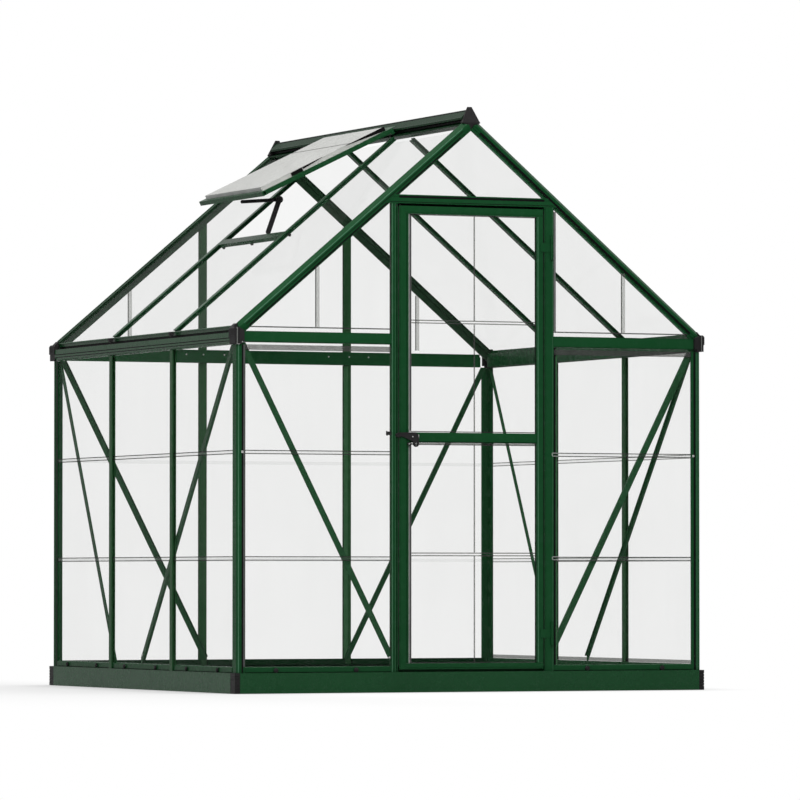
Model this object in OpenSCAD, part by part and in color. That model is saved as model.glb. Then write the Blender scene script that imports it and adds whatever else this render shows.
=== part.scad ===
// Small gable-roofed greenhouse: painted metal profiles, clear polycarbonate
// sheets, a hinged door in the front gable and a top-hung vent in the left
// slope of the roof. Millimetres. The origin is the centre of the footprint,
// at ground level. The door faces -Y and the left-hand side is -X.

/* [Footprint] */
// Outer width of the base frame, along X
base_w = 1850; // [1850:5:1870]
// Outer depth of the base frame, along Y
base_d = 1850; // [1840:10:2000]
// Height of the base frame
base_h = 72.5; // [60:0.5:80]
// Sheet thickness of the base channels
base_t = 2; // [1.5:0.5:4]
// How far the wall frame stands in from the outside of the base
wall_inset = 11; // [10:1:13]

/* [Walls] */
// Height of the underside of the eave beams above the ground
eave_z = 1240; // [1240:1:1250]
// Height of the front and back eave beams
beam_h = 39.5; // [34:0.5:40.5]
// Top of the sill rails above the ground
sill_z = 94; // [90:0.5:104]
// Width of the posts in the side walls
side_post_w = 26; // [22:1:30]
// Width of the posts in the back wall
back_post_w = 30; // [22:1:32]
// Leg of a corner post
corner_leg = 33.5; // [31:0.5:36]
// Leg of a corner post on the side walls
corner_side = 43; // [40:1:46]
// Thickness of a clear sheet
sheet_t = 1; // [0.8:0.1:2]
// Height of the lower joint strip between the wall sheets
strip_z1 = 476.5; // [440:0.5:520]
// Height of the upper joint strip between the wall sheets
strip_z2 = 852; // [800:0.5:880]
// Height of a joint strip
strip_h = 13; // [10:0.5:16]

/* [Roof] */
// Pitch of the roof in degrees
pitch = 40; // [40:0.25:41]
// Height of the outer roof plane above the eave beams' underside, at the wall
eave_rise = 55.07; // [55.07:0.1:55.57]
// Depth of the gable rafters, square to the roof
gable_rafter_h = 36; // [34:0.5:36]
// Width of the gable rafters along Y
gable_rafter_w = 25; // [23:1:27]
// Width of the rafters between the roof sheets
rafter_w = 26; // [22:1:30]
// Height of the ridge above the outer roof plane's apex
ridge_rise = 29.5; // [29.5:0.5:34]

/* [Door] */
// Left side of the doorway, from the middle of the front
door_left = 293; // [290:0.5:296]
// Right side of the doorway, from the middle of the front
door_right = 287; // [270:0.5:289]
// Width of the door's left stile
stile_l = 37; // [34:0.5:44]
// Width of the door's right stile
stile_r = 26.5; // [24:0.5:34]
// Underside of the door
door_z0 = 81.5; // [79:0.5:90]
// Top of the door
door_z1 = 1737.5; // [1600:0.5:1737.5]
// Thickness of the door frame
door_t = 22; // [18:1:24]
// Gap between the door and its right post
door_gap = 5.5; // [5:0.5:8]

/* [Vent] */
// Length of the vent, down the slope
vent_len = 600; // [500:5:620]
// Half width of the vent
vent_half = 300; // [260:5:302]
// Slope of the open vent below the horizontal, in degrees
vent_slope = 25.7; // [22:0.1:25.7]
// Depth of the vent's frame bars
vent_bar = 17; // [14:1:18]

/* [Hidden] */

green = "#1c4528";
black = "#232324";
clear = [0.88, 0.92, 0.92, 0.35];

bx = base_w / 2;
by = base_d / 2;
wx = bx - wall_inset;        // outer plane of the wall frame, X
wy = by - wall_inset;        // outer plane of the wall frame, Y
t40 = tan(pitch);
c40 = cos(pitch);
roof_z = eave_z + eave_rise + wx * t40;   // outer roof plane over the middle
s40 = sin(pitch);
beam_z = eave_z + beam_h;    // top of the front and back beams
ig = gable_rafter_h / c40;   // vertical depth of a gable rafter
post_y = 303 * base_d / 1850;
post_x = 303 * base_w / 1850;
gap = 0.3;                   // clearance between fixed pieces that meet
leaf_l = -door_left + door_gap + 0.5;   // left edge of the door
leaf_r = door_right - door_gap;         // right edge of the door
foot_x = wx - 8;             // where the gable rafters end
hinge_x = door_right + 27;
hinge_y = -wy - 6;
hinge_r = 5;
header_z = door_z1 + 8.5;
header_h = 31.5;
post_l = 24.5;               // width of the left door post
post_r = 36.5;               // width of the right door post
pl = -door_left - post_l;    // outer side of the left door post
pr = door_right + post_r;    // outer side of the right door post
mid_z0 = 891.5;              // the door's middle rail
mid_z1 = 927.5;
vent_x = 24;                 // hinge line of the vent
vent_z = roof_z + 13;
cross_x = 470;               // the bar that the closed vent rests on

// ---- helpers -------------------------------------------------------------

// the roof's outer plane at a distance x from the middle
function roof_at(x) = roof_z - t40 * abs(x);
// the underside of the gable rafters
function under_at(x) = roof_at(x) - ig;
// the distance from the middle at which the rafters' underside is at height z
function under_x(z) = (roof_z - ig - z) / t40;
// the same for the edge of the rebate that takes the gable's sheet
rebate = ig - 14;
function rebate_x(z) = (roof_z - rebate - z) / t40;

module box(a, b) { translate(a) cube(b - a); }

// a profile drawn as [outward, height], run along Y on the side of the given sign
module run_y(side, y0, y1, pts) {
  translate([0, y1, 0]) rotate([90, 0, 0]) linear_extrude(y1 - y0)
    polygon([for (p = pts) [side * p[0], p[1]]]);
}
// the same, run along X on the front (-1) or back (+1)
module run_x(side, x0, x1, pts) {
  translate([x0, 0, 0]) rotate([90, 0, 90]) linear_extrude(x1 - x0)
    polygon([for (p = pts) [side * p[0], p[1]]]);
}
// a flat plate drawn as [x, z], between two values of y
module plate_y(y0, y1, pts) {
  translate([0, y1, 0]) rotate([90, 0, 0]) linear_extrude(y1 - y0) polygon(pts);
}
// section of an upright glazing bar: outer cap, web and inner flange, outward +Y
function bar_section(w) = [[-w/2, 5], [w/2, 5], [w/2, 1.5], [4, 1.5], [4, -6], [w/2, -6], [w/2, -10], [-w/2, -10],
                           [-w/2, -6], [-4, -6], [-4, 1.5], [-w/2, 1.5]];

// ---- base ------------------------------------------------------------------

base_pts = function (o) [[o - 26, 0], [o, 0], [o, base_h], [o - 34, base_h], [o - 34, base_h - base_t],
            [o - base_t, base_h - base_t], [o - base_t, base_t], [o - 26, base_t]];

module base_front() color(green) run_x(-1, -bx + 20, bx - 20, base_pts(by));
module base_back() color(green) run_x(1, -bx + 20, bx - 20, base_pts(by));
module base_left() color(green) run_y(-1, -by + 43, by - 43, base_pts(bx));
module base_right() color(green) run_y(1, -by + 43, by - 43, base_pts(bx));

module base_corner() {
  difference() {
    box([bx - 20 + gap, by - 43 + gap, 0], [bx, by, base_h]);
    box([bx - 25, by - 50, -1], [bx - 9, by - 9, base_h - 3]);
    for (z = [14:11:60]) box([bx - 1, by - 44, z], [bx + 1, by + 1, z + 3]);
    for (z = [14:11:60]) box([bx - 30, by - 1, z], [bx + 1, by + 1, z + 3]);
  }
}
module base_corners() color(black)
  for (i = [0, 1], j = [0, 1]) mirror([i, 0, 0]) mirror([0, j, 0]) base_corner();

// ---- sills -----------------------------------------------------------------

sill_pts = function (o) [[o - 26, base_h], [o - 2, base_h], [o - 2, base_h + 2.5], [o, base_h + 2.5], [o, sill_z - 2.5], [o - 2.5, sill_z],
            [o - 6.5, sill_z], [o - 6.5, sill_z - 3], [o - 9, sill_z - 3], [o - 9, sill_z], [o - 26, sill_z]];

module sill_bays(side, along_x, w, post) {
  edge = (along_x ? wx - corner_leg : wy - corner_side) - gap;
  for (r = [[-edge, -post - w/2 - gap], [-post + w/2 + gap, post - w/2 - gap], [post + w/2 + gap, edge]])
    if (along_x) run_x(side, r[0], r[1], sill_pts(wy)); else run_y(side, r[0], r[1], sill_pts(wx));
}
module sill_front() color(green) {
  run_x(-1, -wx + corner_leg + gap, pl - gap, sill_pts(wy));
  run_x(-1, pr + gap, wx - corner_leg - gap, sill_pts(wy));
  // the low threshold behind the door
  run_x(-1, -door_left - 8, door_right + 8, [[wy - 34, base_h], [wy - 28, base_h], [wy - 28, 92], [wy - 34, 92]]);
}
module sill_back() color(green) sill_bays(1, true, back_post_w, post_x);
module sill_left() color(green) sill_bays(-1, false, side_post_w, post_y);
module sill_right() color(green) sill_bays(1, false, side_post_w, post_y);

// ---- posts -----------------------------------------------------------------

module corner_post() {
  r = 7;
  linear_extrude(eave_z - 8 - base_h) difference() {
    union() {
      translate([-r, -r]) circle(r, $fn = 48);
      translate([-corner_leg, -10]) square([corner_leg - r, 10]);
      translate([-10, -corner_side]) square([10, corner_side - r]);
      translate([-13, -13]) square([13 - r, 13]);
      translate([-13, -13]) square([13, 13 - r]);
    }
    translate([-corner_leg - 1, -1.6]) square([corner_leg - 14, 2]);
    translate([-1.6, -corner_side - 1]) square([2, corner_side - 14]);
  }
}
module corner_posts() color(green)
  for (i = [0, 1], j = [0, 1]) mirror([i, 0, 0]) mirror([0, j, 0])
    translate([wx, wy, base_h]) corner_post();

module wall_post(w, top) { linear_extrude(top - base_h) polygon(bar_section(w)); }
module side_posts() color(green) for (y = [-post_y, post_y], s = [-1, 1])
  translate([s * wx, y, base_h]) rotate(-90 * s) wall_post(side_post_w, eave_z - 7.5 - gap);
module back_posts() color(green) for (x = [-post_x, post_x]) {
  translate([x, wy, base_h]) wall_post(back_post_w, eave_z - 5 - gap);
  // the stud above the eave beam, cut to the slope of the rafter
  intersection() {
    translate([x, wy, beam_z + 6 + gap]) wall_post(back_post_w, roof_z - beam_z);
    plate_y(wy - 30, wy + 10, [[-400, beam_z], [400, beam_z], [400, under_at(400) - gap], [0, under_at(0) - gap], [-400, under_at(400) - gap]]);
  }
}

// ---- doorway ---------------------------------------------------------------

// a post beside the doorway, from x = a to b: a thin face on a narrower box
post_top = header_z - 0.5;
module door_post(a, b) {
  box([a, -wy, base_h], [b, -wy + 3, post_top]);
  box([a + 4, -wy + 2.9, base_h], [b - 4, -wy + 26, post_top]);
}
module door_posts() color(green) {
  difference() {
    union() {
      door_post(pl, -door_left);
      // the bead down the face
      translate([pl + 11, -wy, base_h]) linear_extrude(post_top - base_h) polygon([[-2.5, 0.1], [-1.5, -0.8], [1.5, -0.8], [2.5, 0.1]]);
    }
    box([pl - 1, -wy - 1, base_h - 1], [pl + 7.5, -wy + 0.8, header_z]);
  }
  difference() {
    door_post(door_right, pr);
    box([door_right + 3.5, -wy - 1, base_h - 1], [door_right + 5.5, -wy + 1.5, header_z]);
  }
}
module door_header() color(green) {
  difference() {
    union() {
      // the face, between the rebates of the rafters
      plate_y(-wy, -wy + 8.3, [
        [-rebate_x(header_z) + gap, header_z], [rebate_x(header_z) - gap, header_z],
        [rebate_x(header_z + header_h) - gap, header_z + header_h],
        [-rebate_x(header_z + header_h) + gap, header_z + header_h]]);
      plate_y(-wy + 8.2, -wy + 29, [
        [-under_x(header_z) + gap, header_z], [under_x(header_z) - gap, header_z],
        [under_x(header_z + header_h) - gap, header_z + header_h],
        [-under_x(header_z + header_h) + gap, header_z + header_h]]);
    }
    // the grooves along the face
    box([-500, -wy - 1, header_z + header_h - 11], [500, -wy + 1.5, header_z + header_h - 8]);
    box([-500, -wy - 1, header_z + 4], [500, -wy + 1.2, header_z + 6]);
  }
  // the stop that closes the gap over the door
  box([-door_left - 14, -wy + 27, door_z1 - 4], [door_right + 14, -wy + 29, header_z + 0.1]);
}

// ---- eave beams --------------------------------------------------------------

beam_pts = function (d) [[wy - d, eave_z], [wy - 3, eave_z], [wy - 3, eave_z + 3], [wy, eave_z + 3], [wy, beam_z - 3],
            [wy - 3, beam_z - 3], [wy - 3, beam_z], [wy - d, beam_z]];
module beam_front() color(green) {
  // the full section, and its face, which runs on in front of the rafter's foot
  run_x(-1, -wx + corner_leg + 8, pl - gap, beam_pts(20));
  run_x(-1, pr + gap, wx - corner_leg - 8, beam_pts(20));
  run_x(-1, -wx + 25 + gap, pl - gap, beam_pts(8.2));
  run_x(-1, pr + gap, wx - 25 - gap, beam_pts(8.2));
}
module beam_back() color(green)
  run_x(1, -under_x(beam_z + 6) + gap, under_x(beam_z + 6) - gap, [[wy - 20, eave_z - 5], [wy, eave_z - 5], [wy, beam_z + 6],
        [wy - 13, beam_z + 6], [wy - 13, beam_z - 5], [wy - 20, beam_z - 5]]);

// ---- gutters -----------------------------------------------------------------

gutter_profile = [[wx - 26, eave_z - 4], [wx - 12, eave_z - 4], [wx - 12, eave_z - 7.5], [wx + 3, eave_z - 7.5], [wx + 8, eave_z - 4],
                  [wx + 8, eave_z], [wx + 11, eave_z + 3], [wx + 11, eave_z + 34.5], [wx + 7.5, eave_z + 34.5], [wx + 7.5, eave_z + 2],
                  [wx - 12, eave_z + 2], [wx - 12, eave_z + 45], [wx - 8.5, eave_z + 45], [wx - 8.5, eave_z + 54.5], [wx - 4, eave_z + 54.5], [wx - 4, eave_z + 58.5],
                  [wx - 5.5, eave_z + 60], [wx - 10.5, eave_z + 60], [wx - 10.5, eave_z + 48], [wx - 26, eave_z + 48]];
gutter_end = wy - 41.5;
module gutter_left() color(green) run_y(-1, -gutter_end, gutter_end, gutter_profile);
module gutter_right() color(green) run_y(1, -gutter_end, gutter_end, gutter_profile);

// plastic closure on the end of a gutter, drawn for the +X, +Y corner: a face in
// front of the rafter's foot and a sleeve over the end of the gutter
cap_face = [[wx - 25, eave_z + 1], [wx - 25, eave_z + 41], [wx - 21, eave_z + 44], [wx - 7, eave_z + 50.5], [wx + 5, eave_z + 52], [wx + 12, eave_z + 49], [wx + 14.5, eave_z + 46], [wx + 14.5, eave_z + 19],
            [wx + 11, eave_z + 16.5], [wx + 11, eave_z - 7], [wx - 15, eave_z - 7], [wx - 15, eave_z + 1]];
cap_sleeve = [[foot_x + gap, eave_z - 7], [foot_x + gap, eave_z + 66], [foot_x + 5, eave_z + 66], [wx + 11, eave_z + 52], [wx + 14.5, eave_z + 48], [wx + 14.5, eave_z + 19],
              [wx + 11, eave_z + 16.5], [wx + 11, eave_z - 7]];
module gutter_cap() {
  difference() {
    union() {
      plate_y(wy + gap, wy + 11, cap_face);
      plate_y(gutter_end + gap, wy - 14, cap_sleeve);
      intersection() {
        plate_y(wy - 14.1, wy + 8, cap_sleeve);
        box([foot_x - 5, wy - 20, eave_z - 40], [wx + 20, wy + 20, eave_z + 53]);
      }
    }
    // grooves beside the bead on the face
    for (x = [wx - 5.5, wx + 4.5]) box([x, wy + 9.4, eave_z - 4], [x + 2, wy + 12, eave_z + 47]);
    // ribs round the outer side
    for (y = [wy - 32:9:wy + 4]) box([wx + 13.3, y, eave_z + 22], [wx + 20, y + 3, eave_z + 44]);
  }
}

// ---- rafters -----------------------------------------------------------------

// section of a gable rafter: [in from the wall plane, out from the roof's plane]
rafter_section = [[0, -7.7], [17.4, 5.4], [19.5, 5.4], [20.5, 2.7], [gable_rafter_w, 2.7], [gable_rafter_w, -14], [16.5, -14], [16.5, -gable_rafter_h], [8.5, -gable_rafter_h],
                  [8.5, -gable_rafter_h + 10.7], [3, -gable_rafter_h + 10.7], [3, -gable_rafter_h + 18.4], [0, -gable_rafter_h + 18.4]];
// one gable rafter of the +X slope on the front
module gable_rafter() difference() {
  intersection() {
    union() {
      translate([-10, -wy, roof_z + 10 * t40]) rotate([0, 90 + pitch, 0]) rotate(90)
        linear_extrude((foot_x + 60) / c40) polygon(rafter_section);
      // the flange over the edge of the roof sheet
      translate([37, -wy, roof_at(37)]) rotate([0, 90 + pitch, 0]) rotate(90)
        linear_extrude((foot_x - 4) / c40) polygon([[gable_rafter_w - 0.1, -1.9], [gable_rafter_w + 8, -1.9], [gable_rafter_w + 8, 0.8], [gable_rafter_w - 0.1, 2.7]]);
    }
    box([1, -wy - 1, 1200], [foot_x, -wy + 40, 2100]);
  }
  // notch for the hood on the ridge's end
  plate_y(-wy - 1, -wy + 26, hood_cut);
  // room for the ridge
  plate_y(-wy + 25.5, -wy + 60, [[-60, 2120], [60, 2120], [37, 2062], [37, 2000], [-37, 2000]]);
}
module gable_rafters_front() color(green) for (i = [0, 1]) mirror([i, 0, 0]) gable_rafter();
module gable_rafters_back() color(green) for (i = [0, 1]) mirror([i, 0, 0]) mirror([0, 1, 0]) gable_rafter();

// places a bar or sheet in the +X slope: local X across the building's depth,
// local Y outward, local Z from the ridge down the slope
module on_slope(x0, y) {
  translate([x0, y, roof_at(x0)]) rotate([0, 90 + pitch, 0]) rotate(90) children();
}
module roof_rafter(y, x0, x1) {
  on_slope(x0, y) linear_extrude((x1 - x0) / c40) translate([0, -2]) polygon(bar_section(rafter_w));
  // the outer cap runs on over the lip of the gutter
  on_slope(x0, y) linear_extrude((x1 + 18 - x0) / c40) translate([-rafter_w / 2, -0.5]) square([rafter_w, 3.5]);
}
module roof_rafters() color(green) for (y = [-post_y, post_y], s = [0, 1])
  mirror([s, 0, 0]) roof_rafter(y, 39, wx - 28);

// ---- ridge -------------------------------------------------------------------

rt = roof_z + ridge_rise;
ridge_profile = [[-6, rt], [6, rt], [28, rt - 27], [31, rt - 29], [31, rt - 36], [13, rt - 36], [13, rt - 45], [34, rt - 54],
                 [34, rt - 58.5], [8, rt - 60.5], [-8, rt - 60.5], [-34, rt - 58.5], [-34, rt - 54], [-13, rt - 45], [-13, rt - 36], [-31, rt - 36], [-31, rt - 29], [-28, rt - 27]];
module ridge() color(green)
  translate([0, wy - 26, 0]) rotate([90, 0, 0]) linear_extrude(2 * wy - 52) polygon(ridge_profile);

// the hood on the end of the ridge, drawn for the front: it leans back to its top
hood_outline = [[-8.5, rt + 9.5], [8.5, rt + 9.5], [32, rt - 43], [34.5, rt - 47], [34, rt - 51], [16, rt - 55.5], [12.5, rt - 55.5], [0, rt - 73.5],
                [-12.5, rt - 55.5], [-16, rt - 55.5], [-34, rt - 51], [-34.5, rt - 47], [-32, rt - 43]];
// the same outline with clearance, open at the top, for the rafters
hood_cut = [[-60, rt + 40], [60, rt + 40], [35.2, rt - 47], [34.4, rt - 51.4], [16, rt - 56], [12.8, rt - 56], [0, rt - 74.2],
            [-12.8, rt - 56], [-16, rt - 56], [-34.4, rt - 51.4], [-35.2, rt - 47]];
module ridge_cap() intersection() {
  plate_y(-wy, -wy + 25.7, hood_outline);
  run_x(-1, -50, 50, [[wy - 25.7, rt + 12], [wy - 23.5, rt + 12], [wy - 23, rt + 8], [wy - 8, rt - 42], [wy - 7, rt - 46], [wy - 7, rt - 50], [wy - 14, rt - 75], [wy - 25.7, rt - 75]]);
}
module roof_end_caps() color(black) {
  for (j = [0, 1]) mirror([0, j, 0]) ridge_cap();
  for (i = [0, 1], j = [0, 1]) mirror([i, 0, 0]) mirror([0, j, 0]) gutter_cap();
}

// ---- braces ------------------------------------------------------------------

// an angle bar from a to b, each [along, height], its flat from y to y + t and its
// flange on the upper (1) or lower (-1) edge, kept within the box from lo to hi
brace_w = 22;
module brace(a, b, y, edge, lo, hi, inward = 9, t = 2) {
  dx = b[0] - a[0]; dz = b[1] - a[1]; l = sqrt(dx * dx + dz * dz);
  e = edge * sign(dx);
  intersection() {
    translate([a[0], y, a[1]]) rotate([0, -atan2(dz, dx), 0]) {
      box([-60, min(0, t), -brace_w / 2], [l + 60, max(0, t), brace_w / 2]);
      box([-60, min(0, inward), e > 0 ? brace_w / 2 - 2 : -brace_w / 2], [l + 60, max(0, inward), e > 0 ? brace_w / 2 : -brace_w / 2 + 2]);
    }
    box([lo[0], y - 20, lo[1]], [hi[0], y + 20, hi[1]]);
  }
}
by0 = wy - 10.3;                   // outer face of the braces, on the posts
bx0 = wx - 10.3;
module gable_braces() color(green) {
  brace([-308, 112], [-890, eave_z], -by0, 1, [-900, 100], [pl - gap, eave_z - gap]);
  brace([304, 112], [886, eave_z], -by0, 1, [pr + gap, 100], [900, eave_z - gap]);
  brace([307, 112], [889, eave_z], by0, 1, [293, sill_z + gap], [900, eave_z - 5 - gap], -9, -2);
  mirror([1, 0, 0]) brace([301, 112], [883, eave_z], by0, 1, [287, sill_z + gap], [900, eave_z - 5 - gap], -9, -2);
}
module side_braces() color(green) for (i = [0, 1]) {
  brace_x(i, [-855 - 21 * i, eave_z], [18 - 21 * i, 112], [-880, sill_z + gap], [29 - 21 * i, eave_z - 8], 10);
  brace_x(i, [878, eave_z], [298.5, 112], [284, sill_z + gap], [899, eave_z - 8], 13);
}
// a brace on a side wall, drawn along Y: i is 0 on the left, 1 on the right
module brace_x(i, a, b, lo, hi, flange) mirror([i, 0, 0]) mirror([1, -1, 0]) brace(a, b, -bx0, i == 0 ? -1 : 1, lo, hi, flange);

// ---- clear sheets ------------------------------------------------------------

sheet_u = 4;                       // the sheet's outer face, in from the wall plane
rows = [[sill_z + gap, strip_z1 - strip_h / 2 - gap], [strip_z1 + strip_h / 2 + gap, strip_z2 - strip_h / 2 - gap], [strip_z2 + strip_h / 2 + gap, 0]];
side_bays = [[-wy + corner_side + gap, -post_y - 4 - gap], [-post_y + 4 + gap, post_y - 4 - gap], [post_y + 4 + gap, wy - corner_side - gap]];
back_bays = [[-wx + corner_leg + gap, -post_x - 4 - gap], [-post_x + 4 + gap, post_x - 4 - gap], [post_x + 4 + gap, wx - corner_leg - gap]];
front_bays = [[-wx + corner_leg + gap, pl - gap], [pr + gap, wx - corner_leg - gap]];

module sheets_y(y, bays, top) for (b = bays, r = rows)
  box([b[0], y, r[0]], [b[1], y + sheet_t, r[1] == 0 ? top : r[1]]);
module sheets_x(x, bays, top) for (b = bays, r = rows)
  box([x, b[0], r[0]], [x + sheet_t, b[1], r[1] == 0 ? top : r[1]]);

module wall_sheets_front() color(clear) sheets_y(-wy + sheet_u, front_bays, eave_z - gap);
module wall_sheets_back() color(clear) sheets_y(wy - sheet_u - sheet_t, back_bays, eave_z - 5 - gap);
module wall_sheets_left() color(clear) sheets_x(-wx + sheet_u, side_bays, eave_z - 7.5 - gap);
module wall_sheets_right() color(clear) sheets_x(wx - sheet_u - sheet_t, side_bays, eave_z - 7.5 - gap);

module joint_strips() color(clear) {
  for (z = [strip_z1, strip_z2]) {
    for (b = front_bays) box([b[0], -wy + sheet_u - 1, z - strip_h / 2], [b[1], -wy + sheet_u + 1.8, z + strip_h / 2]);
    for (b = back_bays) box([b[0], wy - sheet_u - 1.8, z - strip_h / 2], [b[1], wy - sheet_u + 1, z + strip_h / 2]);
    for (b = side_bays, s = [0, 1]) mirror([s, 0, 0])
      box([wx - sheet_u - 1.8, b[0], z - strip_h / 2], [wx - sheet_u + 1, b[1], z + strip_h / 2]);
  }
}

// the gables: one sheet each side of the doorway and one over the header, their
// edges in the rebates of the rafters
module gable_sheets_front() color(clear) {
  for (i = [0, 1]) mirror([i, 0, 0]) {
    px = (i == 1 ? -pl : pr) + gap;
    plate_y(-wy + sheet_u, -wy + sheet_u + sheet_t, [[px, beam_z + gap], [rebate_x(beam_z) - 12, beam_z + gap], [rebate_x(header_z) - 0.7, header_z - gap], [px, header_z - gap]]);
  }
  hz = header_z + header_h + gap;
  plate_y(-wy + sheet_u, -wy + sheet_u + sheet_t, [[-rebate_x(hz) + 1, hz], [rebate_x(hz) - 1, hz], [38, roof_at(38) - rebate - 1], [0, rt - 78], [-38, roof_at(38) - rebate - 1]]);
}
module gable_sheets_back() color(clear) difference() {
  e = rebate_x(beam_z + 6) - 12;
  plate_y(wy - sheet_u - sheet_t, wy - sheet_u, [[-e, beam_z + 6 + gap], [e, beam_z + 6 + gap], [38, roof_at(38) - rebate - 1 - 10], [0, rt - 78], [-38, roof_at(38) - rebate - 1 - 10]]);
  for (x = [-post_x, post_x]) box([x - 4 - gap, wy - 20, 1200], [x + 4 + gap, wy, 2000]);
}

// roof sheets lie just under the rafters' outer caps
module roof_sheet(y0, y1, x0, x1) on_slope(x0, 0)
  translate([0, 0, 0]) box([y0, -2 - sheet_t - 2, 0], [y1, -4, (x1 - x0) / c40]);
rs0 = 41; rs1 = wx - 11;
rb = [[-wy + gable_rafter_w + gap, -post_y - 4 - gap], [-post_y + 4 + gap, post_y - 4 - gap], [post_y + 4 + gap, wy - gable_rafter_w - gap]];
module roof_sheets_right() color(clear) for (b = rb) roof_sheet(b[0], b[1], rs0, rs1);
module roof_sheets_left() color(clear) mirror([1, 0, 0]) {
  roof_sheet(rb[0][0], rb[0][1], rs0, rs1);
  roof_sheet(rb[2][0], rb[2][1], rs0, rs1);
  roof_sheet(rb[1][0], rb[1][1], cross_x + 19, rs1);
}

// ---- roof vent ---------------------------------------------------------------

module vent_crossbar() color(green) mirror([1, 0, 0]) on_slope(cross_x, 0) {
  box([-post_y + rafter_w / 2 + gap, -12, -7], [post_y - rafter_w / 2 - gap, 3, 24]);
}

// local X along the ridge, local Y out of the vent, local Z down its slope
module on_vent() { translate([-vent_x, 0, vent_z]) rotate([0, -90 - vent_slope, 0]) rotate(-90) children(); }
module vent_frame() color(green) on_vent() {
  for (s = [-1, 1]) box([s < 0 ? -vent_half : vent_half - 16, -vent_bar, 32 + gap], [s < 0 ? -vent_half + 16 : vent_half, 0, vent_len - 18 - gap]);
  // the top bar, with the lip over the ridge and the tongue that hooks under it
  box([-vent_half, -23, 18], [vent_half, 0, 32]);
  box([-vent_half, -2, 5], [vent_half, 0, 18.1]);
  box([-vent_half, -23, 5], [vent_half, -20.5, 18.1]);
  // the lower rail, a channel open at its ends
  difference() {
    box([-vent_half - 4, -vent_bar, vent_len - 18], [vent_half + 4, 0, vent_len]);
    for (s = [-1, 1]) box([s * (vent_half + 5) - 14, -vent_bar + 3, vent_len - 15], [s * (vent_half + 5) + 14, -3, vent_len - 3]);
  }
}
// a formed sheet: a flat margin between the bars and a raised field in two steps
vent_rise = 14;                    // height of the field over the frame
vent_w = vent_half - 30;           // half width of the field
vent_s1 = 45; vent_s2 = 190;       // the upper step, down the slope
module vent_sheet() color(clear) on_vent() {
  t = 1.2;
  m = vent_half - 16 - gap;
  difference() {
    union() {
      box([-m, -3, 32 + gap], [m, -3 + t, vent_len - 18 - gap]);
      box([-vent_w, -3, vent_s1], [vent_w, vent_rise, vent_len - 18 - gap]);
    }
    box([-vent_w + t, -4, vent_s1 + t], [vent_w - t, vent_rise - t, vent_len - 18 - gap - t]);
    // the seam between the two steps
    box([-vent_w - 1, vent_rise - 0.6, vent_s2 - 1.5], [vent_w + 1, vent_rise + 1, vent_s2 + 1.5]);
  }
}

// two-link stay between the crossbar and the vent's lower rail
stay_y = -105;
s0 = [-455, roof_z - 379.5]; s1 = [-411, roof_z - 259]; s2 = [-556, roof_z - 270.5];
module link(a, b, y0, y1, w = 13) hull() for (p = [a, b])
  translate([p[0], y1, p[1]]) rotate([90, 0, 0]) cylinder(h = y1 - y0, d = w, $fn = 32);
module vent_stay() color(black) {
  link(s0, s1, stay_y - 3, stay_y + 3, 18);
  link(s1, s2, stay_y + 3, stay_y + 9);
  translate([s1[0], stay_y + 12, s1[1]]) rotate([90, 0, 0]) cylinder(h = 18, d = 26, $fn = 48);
}

// ---- door --------------------------------------------------------------------

dy0 = -wy; dy1 = -wy + door_t;
rail_t = 28;                       // height of the door's top rail
rail_b = 21.5;                     // and of its bottom rail
rail_l = leaf_l + 23;              // left end of the top and bottom rails
// an upright of the door from x = a to b: a thin face on a narrower box
module stile(a, b, z0, z1) {
  box([a, dy0, z0], [b, dy0 + 3, z1]);
  box([a + 4, dy0 + 2.9, z0], [b - 4, dy1, z1]);
}
module door_stiles() color(green) {
  // the left stile: its outer part runs past the rails, its inner part stops at them
  difference() {
    union() {
      box([leaf_l, dy0, door_z0], [rail_l - gap, dy0 + 3, door_z1]);
      box([leaf_l + 3.5, dy0 + 2.9, door_z0], [rail_l - gap, dy1, door_z1]);
      box([rail_l - gap - 0.1, dy0, door_z0 + rail_b + gap], [leaf_l + stile_l, dy0 + 3, door_z1 - rail_t - gap]);
      box([rail_l - gap - 0.1, dy0 + 2.9, door_z0 + rail_b + gap], [leaf_l + stile_l - 4, dy1, door_z1 - rail_t - gap]);
    }
    box([leaf_l + 3, dy0 - 1, door_z0 - 1], [leaf_l + 5, dy0 + 1.2, door_z1 + 1]);
  }
  difference() {
    stile(leaf_r - stile_r, leaf_r, door_z0 + rail_b + gap, door_z1 - rail_t - gap);
    box([leaf_r - stile_r + 3, dy0 - 1, door_z0 - 1], [leaf_r - stile_r + 5.5, dy0 + 1.4, door_z1 + 1]);
  }
}
sx0 = leaf_l + stile_l + gap;      // inner edges of the stiles
sx1 = leaf_r - stile_r - gap;
module door_rails() color(green) {
  for (z = [[door_z1 - rail_t, door_z1], [door_z0, door_z0 + rail_b]]) difference() {
    union() {
      box([rail_l, dy0, z[0]], [leaf_r, dy0 + 3, z[1]]);
      box([rail_l, dy0 + 2.9, z[0]], [leaf_r - 4, dy1, z[1]]);
    }
    box([rail_l - 1, dy0 - 1, z[0] + 4], [leaf_r + 1, dy0 + 1.2, z[0] + 6]);
  }
  box([sx0, dy0 + 1, mid_z0], [sx1, dy1, mid_z1]);
}
module door_sheets() color(clear)
  for (r = [[door_z0 + rail_b + gap, mid_z0 - gap], [mid_z1 + gap, door_z1 - rail_t - gap]])
    box([sx0, dy0 + 8, r[0]], [sx1, dy0 + 8 + sheet_t, r[1]]);

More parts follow.
